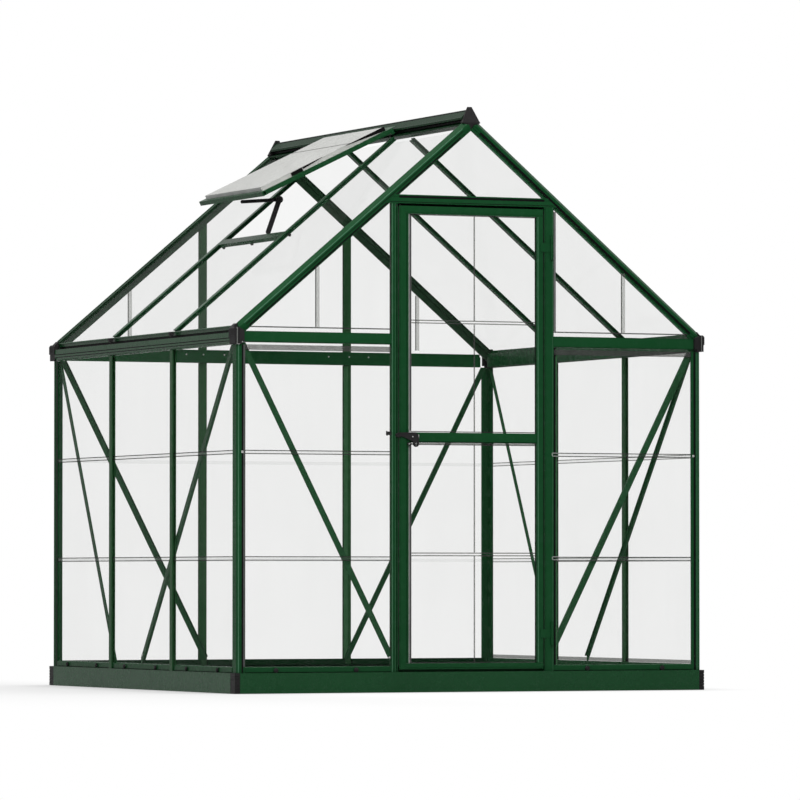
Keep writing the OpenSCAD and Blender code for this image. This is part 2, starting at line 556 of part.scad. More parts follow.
// hinges: the barrel's middle is on the door, its two ends on the post
hinges = [[1557, 1642], [165, 250]];
module barrel(z0, z1, r) translate([hinge_x, hinge_y, z0]) cylinder(h = z1 - z0, r = r, $fn = 40);
module door_post_hinges() color(green) for (h = hinges) {
  difference() {
    union() {
      for (z = [[h[0], h[0] + 26], [h[1] - 26, h[1]]]) {
        barrel(z[0], z[1], hinge_r);
        box([hinge_x, -wy - 2.5, z[0]], [hinge_x + 8, -wy - gap, z[1]]);
        box([hinge_x, hinge_y, z[0]], [hinge_x + 4, -wy - gap, z[1]]);
      }
      barrel(h[0] + 1, h[1] - 1, 2.5);
    }
  }
}
module door_hinges() color(green) for (h = hinges) difference() {
  union() {
    barrel(h[0] + 27, h[1] - 27, hinge_r);
    box([leaf_r - 12, -wy - 2.5, h[0] + 27], [hinge_x, -wy - gap, h[1] - 27]);
    box([hinge_x - 4, hinge_y, h[0] + 27], [hinge_x, -wy - gap, h[1] - 27]);
  }
  barrel(h[0], h[1], 2.6);
}

// latch: a lever on the door's face, with a pull ring at its free end
lx = -door_left + 69.5;            // middle of the pull ring
latch_outline = [[lx - 80, 920], [lx - 69, 926], [lx - 3, 928], [lx + 7, 920], [lx + 10.5, 909], [lx + 10.5, 886], [lx - 9, 886], [lx - 10, 893],
                 [lx - 17, 897], [lx - 34, 904], [lx - 55, 913], [lx - 69, 908], [lx - 78, 912]];
module door_latch() color(black) {
  difference() {
    union() {
      plate_y(dy0 - 7, dy0 - gap, latch_outline);
      translate([lx, dy0 - gap, 886]) rotate([90, 0, 0]) cylinder(h = 8, r = 10.5, $fn = 48);
    }
    translate([lx, dy0 + 1, 886]) rotate([90, 0, 0]) cylinder(h = 12, r = 5, $fn = 32);
  }
  translate([lx - 73, dy0 - 6.9, 916]) rotate([90, 0, 0]) cylinder(h = 3.6, r = 6.5, $fn = 32);
}
// the keeper that the latch takes hold of, on the outer side of the left post
module latch_keeper() color(black) {
  box([pl - 20, -wy - 1, 920], [pl - gap, -wy + 3.6, 929.5]);
  box([pl - 20, -wy - 1, 918], [pl - 17, -wy + 3.6, 931.5]);
}

// ---- assembly ----------------------------------------------------------------

base_front();
base_back();
base_left();
base_right();
base_corners();
sill_front();
sill_back();
sill_left();
sill_right();
corner_posts();
side_posts();
back_posts();
door_posts();
door_header();
beam_front();
beam_back();
gutter_left();
gutter_right();
roof_end_caps();
gable_rafters_front();
gable_rafters_back();
roof_rafters();
ridge();
gable_braces();
side_braces();
wall_sheets_front();
wall_sheets_back();
wall_sheets_left();
wall_sheets_right();
joint_strips();
gable_sheets_front();
gable_sheets_back();
roof_sheets_left();
roof_sheets_right();
vent_crossbar();
vent_frame();
vent_sheet();
vent_stay();
door_post_hinges();
latch_keeper();
door_stiles();
door_rails();
door_sheets();
door_hinges();
door_latch();
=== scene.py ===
import math
import bmesh
import bpy
from mathutils import Matrix, Vector


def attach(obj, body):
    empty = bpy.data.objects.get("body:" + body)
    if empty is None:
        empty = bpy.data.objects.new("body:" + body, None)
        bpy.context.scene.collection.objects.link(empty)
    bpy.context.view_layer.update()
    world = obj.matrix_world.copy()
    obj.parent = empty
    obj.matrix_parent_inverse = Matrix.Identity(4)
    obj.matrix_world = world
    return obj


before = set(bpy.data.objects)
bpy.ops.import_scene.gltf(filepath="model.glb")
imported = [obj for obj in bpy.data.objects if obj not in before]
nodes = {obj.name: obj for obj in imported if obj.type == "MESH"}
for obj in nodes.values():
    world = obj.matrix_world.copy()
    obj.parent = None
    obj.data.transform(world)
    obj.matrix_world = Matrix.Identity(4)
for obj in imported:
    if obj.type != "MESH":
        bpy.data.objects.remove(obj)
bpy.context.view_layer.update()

scene = bpy.context.scene
mm = 0.001


# ---- materials -------------------------------------------------------------

class Mat:
    """A node material around one Principled shader, with short calls for its nodes."""

    def __init__(self, name):
        self.m = bpy.data.materials.new(name)
        self.m.use_nodes = True
        self.t = self.m.node_tree
        self.t.nodes.clear()
        self.out = self.t.nodes.new("ShaderNodeOutputMaterial")
        self.p = self.t.nodes.new("ShaderNodeBsdfPrincipled")
        self.link(self.p.outputs[0], self.out.inputs[0])
        tc = self.t.nodes.new("ShaderNodeTexCoord")
        self.co = tc.outputs["Object"]

    def link(self, a, b):
        self.t.links.new(a, b)

    def node(self, kind, **values):
        n = self.t.nodes.new(kind)
        for k, v in values.items():
            setattr(n, k, v)
        return n

    def scaled(self, s):
        n = self.node("ShaderNodeMapping")
        n.inputs["Scale"].default_value = s
        self.link(self.co, n.inputs[0])
        return n.outputs[0]

    def noise(self, scale, detail=3.0, rough=0.5, vec=None):
        n = self.node("ShaderNodeTexNoise")
        n.inputs["Scale"].default_value = scale
        n.inputs["Detail"].default_value = detail
        n.inputs["Roughness"].default_value = rough
        self.link(vec or self.co, n.inputs["Vector"])
        return n.outputs["Fac"]

    def ramp(self, fac, stops):
        n = self.node("ShaderNodeValToRGB")
        e = n.color_ramp.elements
        while len(e) < len(stops):
            e.new(0.5)
        for i, (p, c) in enumerate(stops):
            e[i].position = p
            e[i].color = c if len(c) == 4 else (*c, 1)
        self.link(fac, n.inputs[0])
        return n.outputs[0]

    def rng(self, fac, a, b, lo=0.3, hi=0.7):
        n = self.node("ShaderNodeMapRange")
        n.inputs["From Min"].default_value = lo
        n.inputs["From Max"].default_value = hi
        n.inputs["To Min"].default_value = a
        n.inputs["To Max"].default_value = b
        self.link(fac, n.inputs["Value"])
        return n.outputs[0]

    def math(self, op, a, b):
        n = self.node("ShaderNodeMath", operation=op)
        for i, v in enumerate((a, b)):
            if isinstance(v, (int, float)):
                n.inputs[i].default_value = v
            else:
                self.link(v, n.inputs[i])
        return n.outputs[0]

    def mix(self, fac, a, b):
        n = self.node("ShaderNodeMix", data_type="RGBA")
        for s, v in ((0, fac), (6, a), (7, b)):
            if hasattr(v, "is_linked") or hasattr(v, "links"):
                self.link(v, n.inputs[s])
            else:
                n.inputs[s].default_value = v if isinstance(v, (int, float)) else (*v, 1)
        return n.outputs[2]

    def bump(self, height, strength, distance, edge=0.0, normal=None):
        n = self.node("ShaderNodeBump")
        n.inputs["Strength"].default_value = strength
        n.inputs["Distance"].default_value = distance
        self.link(height, n.inputs["Height"])
        if edge:
            b = self.node("ShaderNodeBevel", samples=4)
            b.inputs["Radius"].default_value = edge
            self.link(b.outputs[0], n.inputs["Normal"])
        self.link(n.outputs[0], self.p.inputs["Normal"])
        return n

    def set(self, **values):
        for k, v in values.items():
            self.p.inputs[k.replace("_", " ")].default_value = v


def green_paint(name, gloss, tone=1.0, pale=(0.0, 0.0, 0.0)):
    """Powder coat. tone darkens or lightens it, and pale is added to its colour."""
    def shade(c):
        return tuple(tone * a + b for a, b in zip(c, pale))
    m = Mat(name)
    cloud = m.noise(2.3, 4)
    grain = m.noise(420, 2)
    patch = m.noise(21, 3)
    c = m.ramp(cloud, [(0.3, shade((0.0070, 0.0560, 0.0170))), (0.7, shade((0.0090, 0.0680, 0.0210)))])
    c = m.mix(m.rng(grain, 0, 0.2), c, shade((0.012, 0.082, 0.028)))
    c = m.mix(m.rng(patch, 0, 0.12), c, shade((0.020, 0.066, 0.034)))
    m.link(c, m.p.inputs["Base Color"])
    m.link(m.math("ADD", m.rng(grain, 0.0, 0.06), m.rng(patch, 0.19, 0.27)), m.p.inputs["Roughness"])
    m.bump(grain, 0.25, 0.0003, edge=0.0011)
    m.set(Specular_IOR_Level=gloss)
    return m.m


def black_plastic(name="black_plastic", tone=1.0, gloss=None, bead_highlight=False):
    """Moulded plastic or rubber. bead_highlight paints a pale highlight along the raised beading on the front of the
    end caps.
    """
    m = Mat(name)
    g = 0.95 if tone <= 1 else 1.0
    cloud = m.noise(14, 3)
    grain = m.noise(1100, 3, 0.6)
    c = m.ramp(cloud, [(0.3, (0.0105 * tone, 0.0105 * g * tone, 0.0105 * tone)), (0.7, (0.0165 * tone, 0.0165 * g * tone, 0.0162 * tone))])
    c = m.mix(m.rng(grain, 0, 0.5), c, (0.022 * tone, 0.022 * g * tone, 0.0217 * tone))
    if bead_highlight:
        n = m.node("ShaderNodeSeparateXYZ")
        m.link(m.co, n.inputs[0])
        x, y = m.math("ABSOLUTE", n.outputs[0], 0), m.math("ABSOLUTE", n.outputs[1], 0)
        # painted highlight: a pale grey line on the end caps' front beading, at |x| 915.2 to 919.6 mm
        on = m.math("MULTIPLY", m.math("MULTIPLY", m.math("GREATER_THAN", x, 0.9152), m.math("LESS_THAN", x, 0.9196)),
                    m.math("MULTIPLY", m.math("GREATER_THAN", y, 0.9243), m.rng(cloud, 0.75, 1.0)))
        c = m.mix(on, c, (0.17, 0.18, 0.17))
    m.link(c, m.p.inputs["Base Color"])
    m.link(m.rng(grain, 0.42, 0.6), m.p.inputs["Roughness"])
    m.bump(grain, 0.5, 0.0003, edge=0.0012)
    m.set(Specular_IOR_Level=min(0.22 * tone, 0.3) if gloss is None else gloss)
    return m.m


def see_through(name, tint, body, share, rough, dust=0.02, mirror=0.5, ior=1.49, wave=0.0006):
    """A clear plastic sheet: what is behind it, a mirror that grows at a slant, and a little dust."""
    m = Mat(name)
    cloud = m.noise(3.1, 4)
    fine = m.noise(260, 3)
    streak = m.noise(1, 4, vec=m.scaled((24, 24, 1.6)))
    m.link(m.mix(m.rng(fine, 0, 0.3), body, tuple(0.8 * v for v in body)), m.p.inputs["Base Color"])
    m.link(m.rng(fine, rough * 2.0, rough * 4.0), m.p.inputs["Roughness"])
    bump = m.bump(m.noise(5, 2), 0.3, wave)
    tr = m.node("ShaderNodeBsdfTransparent")
    m.link(m.ramp(cloud, [(0.25, tuple(v * 0.99 for v in tint)), (0.75, tint)]), tr.inputs[0])
    gl = m.node("ShaderNodeBsdfGlossy")
    m.link(m.rng(fine, rough * 0.7, rough * 1.3), gl.inputs["Roughness"])
    m.link(bump.outputs[0], gl.inputs["Normal"])
    f = m.node("ShaderNodeFresnel")
    f.inputs["IOR"].default_value = ior
    a = m.node("ShaderNodeMixShader")
    g = m.node("ShaderNodeNewGeometry")   # the sheet's far face adds no mirror of its own
    outer = m.math("SUBTRACT", mirror, m.math("MULTIPLY", g.outputs["Backfacing"], mirror))
    m.link(m.math("MULTIPLY", f.outputs[0], outer), a.inputs[0])
    m.link(tr.outputs[0], a.inputs[1])
    m.link(gl.outputs[0], a.inputs[2])
    b = m.node("ShaderNodeMixShader")
    m.link(m.math("ADD", m.rng(streak, 0, dust), share), b.inputs[0])
    m.link(a.outputs[0], b.inputs[1])
    m.link(m.p.outputs[0], b.inputs[2])
    m.link(b.outputs[0], m.out.inputs[0])
    return m.m


def pale_metal():
    """Zinc-plated screws, and pale squares that paint a highlight at the ends of the front joint strips."""
    m = Mat("zinc")
    m.link(m.ramp(m.noise(60, 4), [(0.3, (0.50, 0.51, 0.49)), (0.7, (0.68, 0.69, 0.67))]), m.p.inputs["Base Color"])
    m.link(m.rng(m.noise(900, 2), 0.25, 0.45), m.p.inputs["Roughness"])
    m.bump(m.noise(700, 2), 0.3, 0.0002, edge=0.0005)
    m.set(Metallic=0.35)
    return m.m


M = {
    "green_paint": green_paint("green_paint", 0.10),
    "green_gloss": green_paint("green_gloss", 0.26),
    # a darker copy of the frame paint: painted shade on the ridge
    "green_ridge": green_paint("green_ridge", 0.06, 0.45),
    # a paler copy of the frame paint: painted light on the braces
    "green_brace": green_paint("green_brace", 0.1, 1.0, (0.012, 0.016, 0.012)),
    # a paler copy of the frame paint: painted light on the back posts and side posts
    "green_back": green_paint("green_back", 0.1, 1.0, (0.014, 0.020, 0.010)),
    # a much paler copy of the frame paint: painted light on lit post faces seen through the sheets
    "green_lit": green_paint("green_lit", 0.2, 1.0, (0.037, 0.080, 0.041)),
    # a darker copy of the frame paint: painted shade on the back base and back sill
    "green_far_shade": green_paint("green_far_shade", 0.06, 0.45),
    # a darker, greyer copy of the frame paint: painted shade on the back gable rafters
    "green_rear": green_paint("green_rear", 0.12, 0.6, (0.014, 0.013, 0.013)),
    "green_shade": green_paint("green_shade", 0.03, 0.3),
    # the lightest copy of the frame paint, for painted highlights along beads and edges
    "green_highlight": green_paint("green_highlight", 0.3, 1.0, (0.042, 0.095, 0.062)),
    # a paler copy of the frame paint, for fainter painted highlights
    "green_soft_highlight": green_paint("green_soft_highlight", 0.2, 1.0, (0.016, 0.032, 0.022)),
    "black_plastic": black_plastic(),
    # a near-black copy of the plastic, for painted shade in grooves, gaps and recesses and for one gasket
    "black_seal_and_shade": black_plastic("black_seal_and_shade", 0.3),
    "black_caps": black_plastic("black_caps", 1.0, bead_highlight=True),
    "black_gloss": black_plastic("black_gloss", 0.65, 0.3),
    "rubber_dark": black_plastic("rubber_dark", 5.0, 0.15),
    "rubber_grey": black_plastic("rubber_grey", 9.0, 0.15),
    "rubber_pale": black_plastic("rubber_pale", 34.0),
    "zinc": pale_metal(),
    "seal_grey": see_through("seal_grey", (0.40, 0.405, 0.395), (0.22, 0.225, 0.215), 0.12, 0.2, 0.04, 0.1),
    "seal_pale": see_through("seal_pale", (0.80, 0.805, 0.795), (0.4, 0.41, 0.4), 0.08, 0.2, 0.04, 0.1),
    "seal_line": see_through("seal_line", (0.56, 0.565, 0.555), (0.3, 0.305, 0.295), 0.10, 0.2, 0.04, 0.1),
    # the vent sheet's pale body, mixed in at 0.74 with streaks, is painted reflection over the clear sheet
    "vent_sheet": see_through("vent_sheet", (0.93, 0.935, 0.925), (0.66, 0.665, 0.64), 0.74, 0.1, 0.10, 0.4),
    "clear_sheet": see_through("clear_sheet", (0.9685, 0.9695, 0.968), (0.55, 0.56, 0.55), 0.0, 0.03, 0.006, 0.2),
    "clear_strip": see_through("clear_strip", (0.95, 0.953, 0.95), (0.5, 0.51, 0.5), 0.02, 0.08, 0.02, 0.8),
}
black = {"base_corners", "roof_end_caps", "vent_stay", "door_latch", "latch_keeper"}
for name, o in nodes.items():
    glossy = name.startswith(("base_", "gutter_")) or name in ("roof_rafters", "vent_crossbar", "vent_frame")
    far = {"ridge": "green_ridge", "gable_rafters_back": "green_rear", "base_back": "green_far_shade", "sill_back": "green_far_shade", "vent_sheet": "vent_sheet",
           "roof_end_caps": "black_caps", "base_corners": "black_gloss", "gable_braces": "green_brace", "side_braces": "green_brace", "back_posts": "green_back", "side_posts": "green_back"}
    key = far[name] if name in far else "clear_sheet" if "sheet" in name else "clear_strip" if name == "joint_strips" else "black_plastic" if name in black else "green_gloss" if glossy else "green_paint"
    o.data.materials.clear()
    o.data.materials.append(M[key])


# ---- detail pieces -----------------------------------------------------------

X, Y, Z = Vector((1, 0, 0)), Vector((0, 1, 0)), Vector((0, 0, 1))
pitch = math.radians(40)
roof_z = 2062.0
wall = 914.0


def roof_at(x):
    return roof_z - math.tan(pitch) * abs(x)


class Piece:
    """Closed shapes gathered in one mesh, drawn in millimetres in the row's frame."""

    def __init__(self, name, mat, slot, body="frame"):
        self.name, self.mat, self.slot, self.body = name, mat, slot, body
        self.bm = bmesh.new()

    def skin(self, rings):
        """A closed solid through rings of equal length, its two ends capped."""
        vs = [[self.bm.verts.new(Vector(q) * mm) for q in r] for r in rings]
        n = len(vs[0])
        for a, b in zip(vs, vs[1:]):
            for i in range(n):
                self.bm.faces.new((a[i], a[(i + 1) % n], b[(i + 1) % n], b[i]))
        self.bm.faces.new(vs[0][::-1])
        self.bm.faces.new(vs[-1])

    def along(self, p0, p1, u, u0, u1, v, v0, v1, c=0.3):
        """A bar from p0 to p1 with chamfered edges, from u0 to u1 along u and v0 to v1 along v."""
        p0, p1 = Vector(p0), Vector(p1)
        d = (p1 - p0).normalized()
        c = min(c, 0.4 * (u1 - u0), 0.4 * (v1 - v0), 0.4 * (p1 - p0).length)

        def ring(p, k):
            a0, a1, b0, b1 = u0 + k, u1 - k, v0 + k, v1 - k
            e = max(c - k, 0.35 * c)
            pts = [(a0 + e, b0), (a1 - e, b0), (a1, b0 + e), (a1, b1 - e), (a1 - e, b1), (a0 + e, b1), (a0, b1 - e), (a0, b0 + e)]
            return [p + u * a + v * b for a, b in pts]
        self.skin([ring(p0, c * 0.65), ring(p0 + d * c, 0), ring(p1 - d * c, 0), ring(p1, c * 0.65)])

    def bar(self, lo, hi, c=0.3):
        """The same, between two corners, along its longest side."""
        lo, hi = Vector(lo), Vector(hi)
        s = hi - lo
        k = max(range(3), key=lambda i: s[i])
        ax = [X, Y, Z]
        i, j = [(1, 2), (2, 0), (0, 1)][k]
        p0, p1 = ax[k] * lo[k], ax[k] * hi[k]
        self.along(p0, p1, ax[i], lo[i], hi[i], ax[j], lo[j], hi[j], c)

    def turn(self, centre, axis, profile, n=24, flutes=0, depth=0.0):
        """A turned shape: profile is [radius, distance along the axis], with an optional fluted rim."""
        centre, axis = Vector(centre), Vector(axis).normalized()
        a = axis.orthogonal().normalized()
        b = axis.cross(a)
        rings = []
        for r, t in profile:
            ring = []
            for i in range(n):
                f = 2 * math.pi * i / n
                q = r * (1 - depth * (0.5 - 0.5 * math.cos(flutes * f))) if flutes else r
                ring.append(centre + axis * t + a * (q * math.cos(f)) + b * (q * math.sin(f)))
            rings.append(ring)
        self.skin(rings)

    def screw(self, centre, axis, r=4.0):
        """A pan-head screw on a washer, with a round socket."""
        self.turn(centre, axis, [(r * 1.25, -0.6), (r * 1.35, -0.2), (r * 1.35, 0.5), (r * 1.2, 0.8)], 28)
        self.turn(centre, axis, [(r * 0.98, 0.5), (r, 0.9), (r * 0.97, r * 0.42), (r * 0.8, r * 0.62), (r * 0.55, r * 0.7), (r * 0.46, r * 0.69), (r * 0.44, r * 0.45)], 24)

    def knob(self, centre, axis, r=6.0, h=7.0):
        """A fluted plastic thumb nut."""
        self.turn(centre, axis, [(r * 0.7, -0.5), (r * 0.75, 0.8), (r * 0.98, 1.4), (r, h * 0.62), (r * 0.92, h * 0.8), (r * 0.55, h * 0.86)], 48, 12, 0.14)
        self.turn(centre, axis, [(r * 0.45, 0), (r * 0.45, h * 0.95), (r * 0.36, h)], 20)

    def ring(self, centre, axis, r, w, n=36, m=10):
        """A closed wire ring."""
        centre, axis = Vector(centre), Vector(axis).normalized()
        a = axis.orthogonal().normalized()
        b = axis.cross(a)
        vs = []
        for i in range(n):
            f = 2 * math.pi * i / n
            out = a * math.cos(f) + b * math.sin(f)
            vs.append([self.bm.verts.new((centre + out * (r + w * math.cos(g)) + axis * (w * math.sin(g))) * mm)
                       for g in (2 * math.pi * k / m for k in range(m))])
        for i in range(n):
            for k in range(m):
                self.bm.faces.new((vs[i][k], vs[(i + 1) % n][k], vs[(i + 1) % n][(k + 1) % m], vs[i][(k + 1) % m]))

    def slope(self, side, x0, x1, y0, y1, v0, v1, c=0.3):
        """A bar down a roof slope (side -1 or 1) between two distances from the middle, v square to the roof."""
        n = Vector((side * math.sin(pitch), 0, math.cos(pitch)))
        self.along((side * x0, 0, roof_at(x0)), (side * x1, 0, roof_at(x1)), Y, y0, y1, n, v0, v1, c)

    def done(self):
        bmesh.ops.recalc_face_normals(self.bm, faces=self.bm.faces)
        me = bpy.data.meshes.new(self.name)
        self.bm.to_mesh(me)
        self.bm.free()
        o = bpy.data.objects.new(self.name, me)
        scene.collection.objects.link(o)
        me.materials.append(M[self.mat])
        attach(o, self.body)
        return o


F = -wall                                     # the front plane
front_bays = [(-880, -319), (325, 880)]
side_bays = [(-870, -308), (-298, 298), (308, 870)]

# the dark lips along the edges of the clear joint strips
p = Piece("joint_strip_lips", "seal_grey", "clear_strip")
q = Piece("joint_strip_lips_right", "seal_line", "clear_strip")
for z0 in (856.0, 844.7, 480.8, 468.6):
    for a, b in front_bays:
        p.bar((a, F + 2.0, z0), (b, F + 2.95, z0 + 3.5), 0.25)
    for a, b in side_bays:
        p.bar((-912.0, a, z0), (-911.05, b, z0 + 3.5), 0.25)
        q.bar((911.05, a, z0), (912.0, b, z0 + 3.5), 0.25)
p.done()
q.done()

# joint strips of the gables: one upright strip in each half and one over the eave beam
p = Piece("gable_strips", "seal_pale", "clear_strip")
q = Piece("gable_strip_lips", "seal_grey", "clear_strip")
for sx in (-1, 1):
    for y in (F + 2.6, wall - 3.9):
        c = sx * 604
        p.bar((c - 8.5, y, 1297.5), (c + 8.5, y + 1.2, 1513), 0.4)
        q.bar((c - 8.5, y - 0.7 if y < 0 else y + 1.0, 1297.5), (c - 4.6, y + 0.2 if y < 0 else y + 1.9, 1512), 0.2)
q.bar((-866, F + 2.6, 1292.6), (-319, F + 3.7, 1297.2), 0.3)
q.bar((325, F + 2.6, 1292.6), (866, F + 3.7, 1297.2), 0.3)
h = Piece("gable_post_seal", "rubber_grey", "clear_strip")
h.bar((323.8, F + 2.4, 1297.5), (333.6, F + 3.8, 1730), 0.3)
h.done()
q.bar((-322.5, F + 2.4, 1297.5), (-319, F + 3.8, 1744), 0.3)
p.done()
q.done()

# a grey see-through band under the front beams and along the foot of the right wall
p = Piece("eave_grey_bands", "seal_line", "clear_strip")
for a, b in front_bays:
    p.bar((a, F + 2.7, 1212.6), (b, F + 3.8, 1232), 0.4)
for a, b in side_bays:
    p.bar((910.2, a, 94.6), (911.3, b, 107.5), 0.4)
p.done()

# the door: gaskets round the panes, joint strips and a mid strip in each pane
D = F + 8.0                                   # the outer face of the panes
p = Piece("door_gaskets", "seal_grey", "clear_strip", "door")
q = Piece("door_gasket_lips", "seal_line", "clear_strip", "door")
g = Piece("door_glazing_beads", "rubber_pale", "clear_strip", "door")
h = Piece("door_seals", "rubber_dark", "black_plastic", "door")
for a, b in ((933, 1708), (104, 882)):
    h.bar((-248.6, D - 2.6, a), (-237.0, D - 0.2, b), 0.8)
    g.bar((-250.1, D - 7.2, a), (-247.3, D - 0.3, b), 0.5)
p.bar((-248.6, D - 4.6, 929), (252, D - 0.2, 932.4), 0.6)
p.bar((-248.6, D - 2.0, 882.6), (252, D - 0.2, 886.4), 0.6)
q.bar((-248.6, D - 2.0, 886.6), (252, D - 0.2, 890.8), 0.6)
p.bar((-248.6, D - 3.0, 103.6), (252, D - 0.2, 107), 0.6)
p.bar((-248.6, D - 3.0, 1705), (252, D - 0.2, 1708.6), 0.6)
for z in (1328.8, 1319.5, 496.6, 487.3):
    q.bar((-236, D - 1.3, z - 2.1), (253, D - 0.2, z + 2.1), 0.3)
for a, b in ((107.2, 485), (499, 882.4), (932.6, 1317.2), (1331, 1704.8)):
    q.bar((8.2, D - 1.3, a), (13.8, D - 0.2, b), 0.4)
p.done()
q.done()
g.done()
h.done()

# beads in a lighter green down the uprights and along the gable rafters: painted highlights
p = Piece("post_beads", "green_highlight", "green_paint")
p.bar((-315.9, F - 0.7, 73), (-312.1, F + 0.9, 1744.5), 0.7)
p.bar((-909.2, F - 1.1, 73), (-905.2, F + 0.4, 1231), 0.6)
p.bar((909.3, F + 0.6, 73), (912.7, F + 3.0, 1231), 0.6)
p.slope(-1, 44, 892, F - 0.9, F + 0.5, -9.9, -6.2, 0.6)
p.slope(1, 52, 884, F + 7.8, F + 9.5, -36.0, -33.2, 0.5)
p.done()
# painted highlight down the right door stile
p = Piece("door_beads", "green_highlight", "green_paint", "door")
p.bar((259.0, F - 1.1, 103.6), (262.8, F + 0.2, 1709), 0.6)
p.done()
# fainter painted highlights: lighter strips down the door posts and the front-right corner post
p = Piece("post_ribs", "green_soft_highlight", "green_paint")
p.bar((317.6, F - 0.9, 73), (320.8, F + 0.2, 1744.5), 0.5)
p.bar((898.6, F - 0.8, 73), (906.0, F + 0.2, 1231), 0.4)
p.bar((-303.4, F - 0.6, 73), (-300.2, F + 0.2, 1744.5), 0.4)
p.done()
# painted light: pale strips for lit post faces, one beside the right door post and one on the back post at x 303
p = Piece("back_post_lit_faces", "green_lit", "green_paint")
p.bar((333.4, F + 9.4, 94.4), (341.5, F + 13, 1238), 0.5)
for x in (303,):
    p.bar((x - 14.9, wall - 10.5, 95), (x + 1.5, wall - 9.8, 1233), 0.3)
p.done()

# shaded grooves, and black strips beside them that paint the shade in grooves, gaps and recesses, with one dark
# gasket right of the right door post
p = Piece("post_grooves", "green_shade", "green_paint")
for x in (-912.9, 912.2):
    p.bar((x, 870.6, 73), (x + 0.7, 890, 1231), 0.2)
p.bar((-299.8, F - 0.5, 73), (-296.6, F + 0.2, 1744.5), 0.2)
p.done()
p = Piece("door_grooves", "green_shade", "green_paint", "door")
p.bar((-258.6, F - 0.4, 103.6), (-256.0, F + 0.2, 1709), 0.15)
p.bar((-249, F + 0.5, 891.8), (254, F + 1.2, 895.4), 0.2)
p.bar((256.8, F + 5, 103.6), (259.2, F + 20, 1709), 0.4)
p.done()
# painted shade: near-black strips in the corner post grooves, along the sills and in the gaps beside and above the
# door; the strip right of the right door post is a gasket
p = Piece("seals_and_shade_strips", "black_seal_and_shade", "black_plastic")
p.bar((-894.4, F + 1.1, 73), (-888.9, F + 1.8, 1231), 0.2)
p.bar((889.6, F + 1.1, 73), (896.8, F + 1.8, 1231), 0.2)
for x0, x1 in ((-879, -318), (325, 879)):
    p.bar((x0, F + 1.3, 72.7), (x1, F + 2.2, 74.9), 0.2)
for x in (-912.7, 911.8):
    for y0, y1 in side_bays:
        p.bar((x, y0, 72.7), (x + 0.9, y1, 74.9), 0.2)
p.bar((-292.8, F + 6, 94), (-288.6, F + 10, 1736), 0.4)
p.bar((283.4, F + 6, 94), (286.8, F + 10, 1736), 0.4)
p.bar((323.9, F + 3.2, 94.4), (332.6, F + 8.6, 1239), 0.8)
p.bar((-306, F + 26.1, 1738.2), (300, F + 27.1, 1745.4), 0.3)
p.bar((-287, F - 0.45, 1765.6), (287, F + 1.6, 1773.0), 0.3)
p.bar((-322, F + 0.25, 1750.2), (322, F + 1.1, 1751.8), 0.2)
# black strips painting the shade in the grooves round the ridge, along the gutters and on the rafters
for sx in (-1, 1):
    a, b = sorted((sx * 30.4, sx * 13.2))
    p.bar((a, -886, roof_z + 29.5 - 44.4), (b, 886, roof_z + 29.5 - 36.2), 0.5) if sx > 0 else p.bar((a + 12, -886, roof_z + 29.5 - 44.4), (b, 886, roof_z + 29.5 - 36.2), 0.5)
    n = Vector((sx * 27, 0, 22)).normalized()
    d = Vector((sx * 22, 0, -27)).normalized()
    e = Vector((sx * 6, 0, roof_z + 29.5))
    p.along(e + d * 2.4 + Y * -886, e + d * 2.4 + Y * 886, d, 0, 4.4, n, -0.3, 0.5, 0.2)
    a, b = sorted((sx * 902.1, sx * 903.0))
    p.bar((a, -870, 1272.5), (b, 870, 1285.2), 0.2)
    a, b = sorted((sx * 924.8, sx * 925.6))
    p.bar((a, -870, 1253.4), (b, 870, 1256.4), 0.2)
    p.bar((a, -870, 1243.2), (b, 870, 1245.8), 0.2)
p.slope(1, 46, 890, F + 2.2, F + 3.3, -25.0, -17.9, 0.2)
p.slope(-1, 46, 890, F - 0.4, F + 0.3, -17.5, -15.2, 0.2)
p.slope(-1, 62, 880, F + 7.6, F + 8.7, -32.0, -25.6, 0.2)
p.done()
p = Piece("corner_gaskets", "rubber_dark", "clear_strip")
p.bar((-888.7, F + 0.9, 94), (-881.6, F + 1.8, 1231), 0.3)
p.done()

# fastenings
p = Piece("knobs", "black_plastic", "black_plastic")
for y in (-741, -447, -146, 163, 450, 754):
    p.knob((-913.8, y, 82), (-1, 0, 0), 8.0, 8)
    p.knob((913.8, y, 82), (1, 0, 0), 8.0, 8)
for x in (-765, -456, 456, 758):
    p.knob((x, F + 0.2, 81.5), (0, -1, 0), 9.6, 8.5)
    p.knob((x, wall - 0.2, 81.5), (0, 1, 0), 9.6, 8.5)
nl = Vector((-math.sin(pitch), 0, math.cos(pitch)))
for y in (284, 10, -229):
    p.knob(Vector((-483, y, roof_at(483))) + nl * -11.8, -nl, 6.0, 11)
for y in (340, -325):
    p.knob(Vector((-470, y, roof_at(470))) + nl * -6, -nl, 6.0, 11)
for sx in (-1, 1):
    for y in (-303, 303):
        p.bar((sx * 919.5 - 8, y - 7, 1285.5), (sx * 919.5 + 8, y + 7, 1298), 2.0)
        p.bar((sx * 919.5 - 3.5, y - 9.5, 1280), (sx * 919.5 + 3.5, y + 9.5, 1290), 1.5)
p.screw((-298, F - 0.4, 1737), (0, -1, 0), 2.6)
p.screw((-280, F + 8, 1741), (0, -1, 0), 2.6)
p.turn((-317.4, F + 1, 919.5), (-1, 0, 0), [(2.6, 0), (3.0, 4), (2.6, 13), (4.6, 15), (5.0, 18), (3.4, 20)], 24)
p.done()
p = Piece("screws", "zinc", "black_plastic")
for x in (-377, -306, -219, 219, 306, 388):
    p.screw((x, wall - 20.2, 1267), (0, -1, 0), 1.9)
p.screw((-904.6, 16, 125), (-1, 0, 0), 3.2)
p.screw((904.6, -14, 118), (1, 0, 0), 3.2)
